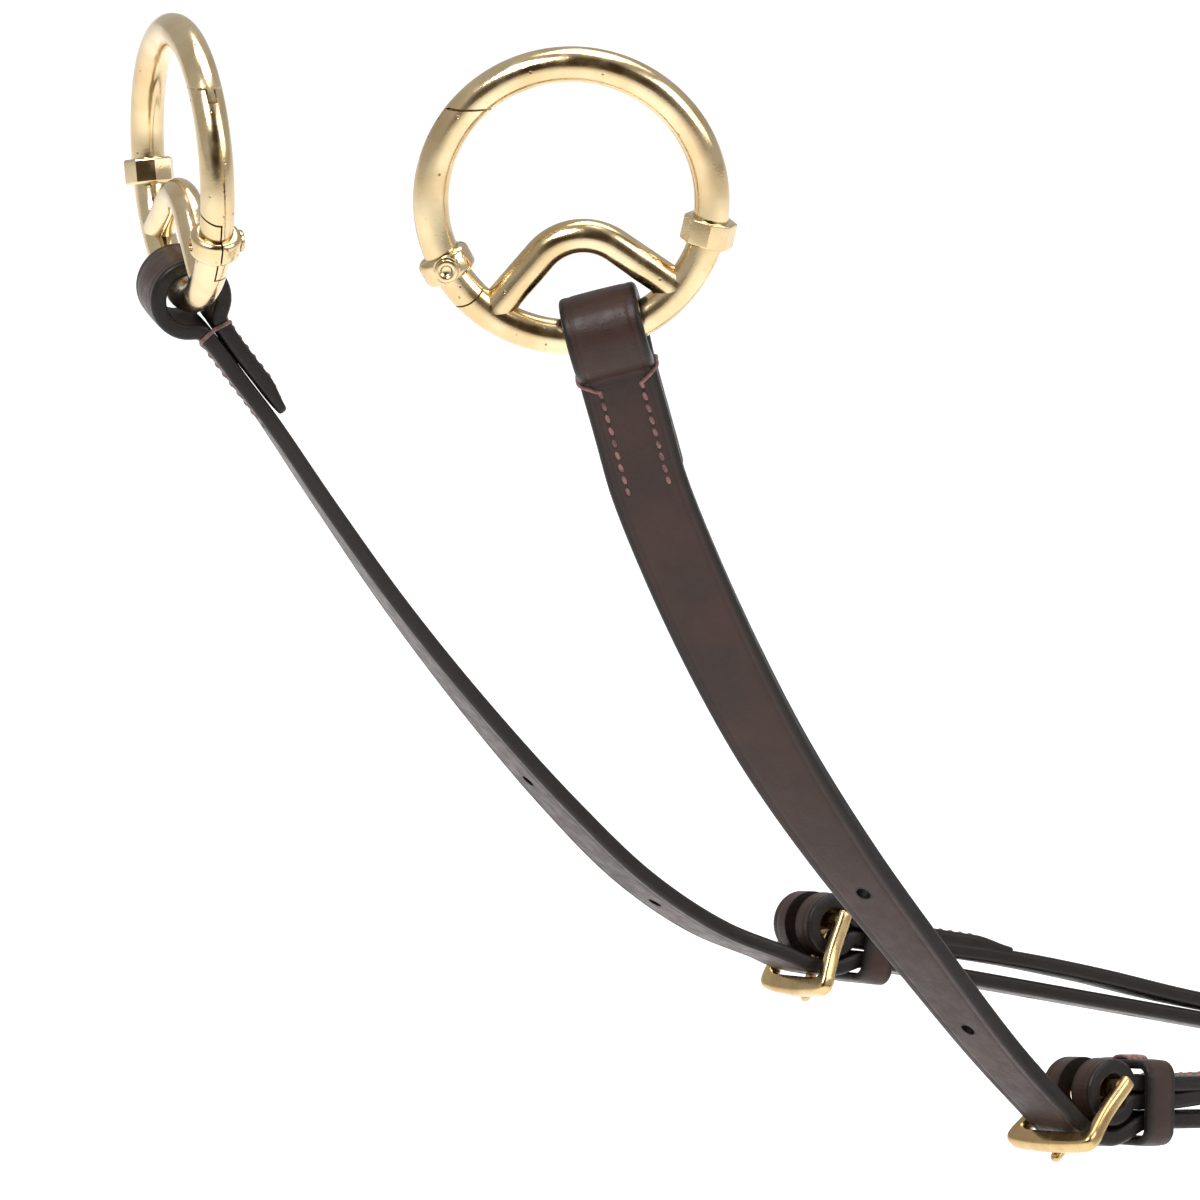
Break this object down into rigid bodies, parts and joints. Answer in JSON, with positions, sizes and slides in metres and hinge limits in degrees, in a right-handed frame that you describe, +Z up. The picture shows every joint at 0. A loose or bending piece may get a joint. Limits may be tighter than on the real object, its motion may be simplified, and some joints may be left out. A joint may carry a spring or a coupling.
{
  "type": "martingale",
  "caption": "Running martingale on a leather breast harness: sprung brass ring clips, buckled straps, chest ring, girth loop and a fork with rein rings.",
  "frame": {"origin": "centre of the right-hand saddle clip's ring", "axes": "+X towards the horse's head, +Y to the horse's left, +Z up"},
  "size_m": [0.4997, 0.1414, 0.5304],
  "materials": {
    "clip_brass": "satin polished pale brass",
    "buckle_brass": "satin brass",
    "spring_steel": "drawn wire",
    "strap_leather": "smooth havana bridle leather"
  },
  "bodies": {
    "harness": {"right_saddle_strap": "strap_leather", "left_saddle_strap": "strap_leather", "right_shoulder_strap": "strap_leather", "left_shoulder_strap": "strap_leather", "right_fixed_keeper": "strap_leather", "left_fixed_keeper": "strap_leather"},
    "right_clip": {"right_clip_body": "clip_brass", "right_clip_pin": "buckle_brass", "right_clip_spring": "spring_steel"},
    "right_gate": {"right_clip_gate": "clip_brass"},
    "right_buckle": {"right_buckle_frame": "buckle_brass"},
    "right_tongue": {"right_buckle_tongue": "buckle_brass"},
    "right_runner": {"right_runner_keeper": "strap_leather"},
    "left_clip": {"left_clip_body": "clip_brass", "left_clip_pin": "buckle_brass", "left_clip_spring": "spring_steel"},
    "left_gate": {"left_clip_gate": "clip_brass"},
    "left_buckle": {"left_buckle_frame": "buckle_brass"},
    "left_tongue": {"left_buckle_tongue": "buckle_brass"},
    "left_runner": {"left_runner_keeper": "strap_leather"},
    "chest_ring": {"chest_ring": "clip_brass"},
    "girth_strap": {"girth_strap": "strap_leather"},
    "fork": {"fork_stem": "strap_leather", "right_fork_branch": "strap_leather", "left_fork_branch": "strap_leather"},
    "right_rein_ring": {"right_rein_ring": "clip_brass"},
    "left_rein_ring": {"left_rein_ring": "clip_brass"}
  },
  "joints": [
    {"name": "right_clip_swing", "type": "hinge", "parent": "harness", "child": "right_clip", "pos_m": [0.00517, -0.00263, -0.0223], "axis": [0.8623, -0.4392, 0.2521], "range_deg": [-75, 75]},
    {"name": "right_gate_hinge", "type": "hinge", "parent": "right_clip", "child": "right_gate", "pos_m": [-0.01822, 0.00928, -0.01064], "axis": [0.454, 0.891, 0], "range_deg": [0, 32], "stiffness_Nm_per_rad": 0.03, "springref_deg": -28.65},
    {"name": "right_buckle_swing", "type": "hinge", "parent": "harness", "child": "right_buckle", "pos_m": [0.1015, 0, -0.1715], "axis": [-0.2175, 0.9478, -0.2333], "range_deg": [-6, 0]},
    {"name": "right_tongue_hinge", "type": "hinge", "parent": "right_buckle", "child": "right_tongue", "pos_m": [0.1015, 0, -0.1715], "axis": [-0.2175, 0.9478, -0.2333], "range_deg": [-6, 0]},
    {"name": "right_runner_slide", "type": "slide", "parent": "harness", "child": "right_runner", "axis": [0.9633, 0.1699, -0.2079], "range_m": [-0.016, 0.026]},
    {"name": "left_clip_swing", "type": "hinge", "parent": "harness", "child": "left_clip", "pos_m": [-0.025, 0.1, -0.03605], "axis": [-0.2, -0.9798, 0], "range_deg": [-75, 75]},
    {"name": "left_gate_hinge", "type": "hinge", "parent": "left_clip", "child": "left_gate", "pos_m": [-0.02832, 0.07904, -0.02201], "axis": [-0.9877, 0.1564, 0], "range_deg": [0, 32], "stiffness_Nm_per_rad": 0.03, "springref_deg": -28.65},
    {"name": "left_buckle_swing", "type": "hinge", "parent": "harness", "child": "left_buckle", "pos_m": [0.1015, 0.1, -0.1715], "axis": [-0.0774, 0.9681, -0.2381], "range_deg": [-6, 0]},
    {"name": "left_tongue_hinge", "type": "hinge", "parent": "left_buckle", "child": "left_tongue", "pos_m": [0.1015, 0.1, -0.1715], "axis": [-0.0774, 0.9681, -0.2381], "range_deg": [-6, 0]},
    {"name": "left_runner_slide", "type": "slide", "parent": "harness", "child": "left_runner", "axis": [0.9511, 0, -0.309], "range_m": [-0.016, 0.026]},
    {"name": "chest_ring_turn", "type": "hinge", "parent": "harness", "child": "chest_ring", "pos_m": [0.405, 0.05, -0.272], "axis": [1, 0, 0], "continuous": true},
    {"name": "girth_strap_swing", "type": "hinge", "parent": "harness", "child": "girth_strap", "pos_m": [0.405, 0.05, -0.2945], "axis": [0, 1, 0], "range_deg": [0, 70]},
    {"name": "fork_swing", "type": "hinge", "parent": "harness", "child": "fork", "pos_m": [0.405, 0.05, -0.2495], "axis": [0, 1, 0], "range_deg": [-100, 0]},
    {"name": "right_rein_ring_swing", "type": "hinge", "parent": "fork", "child": "right_rein_ring", "pos_m": [0.4573, 0.02048, -0.4729], "axis": [0.042, 0.9848, -0.1685], "range_deg": [-75, 75]},
    {"name": "left_rein_ring_swing", "type": "hinge", "parent": "fork", "child": "left_rein_ring", "pos_m": [0.4541, 0.07952, -0.4737], "axis": [-0.042, 0.9848, 0.1685], "range_deg": [-75, 75]}
  ]
}
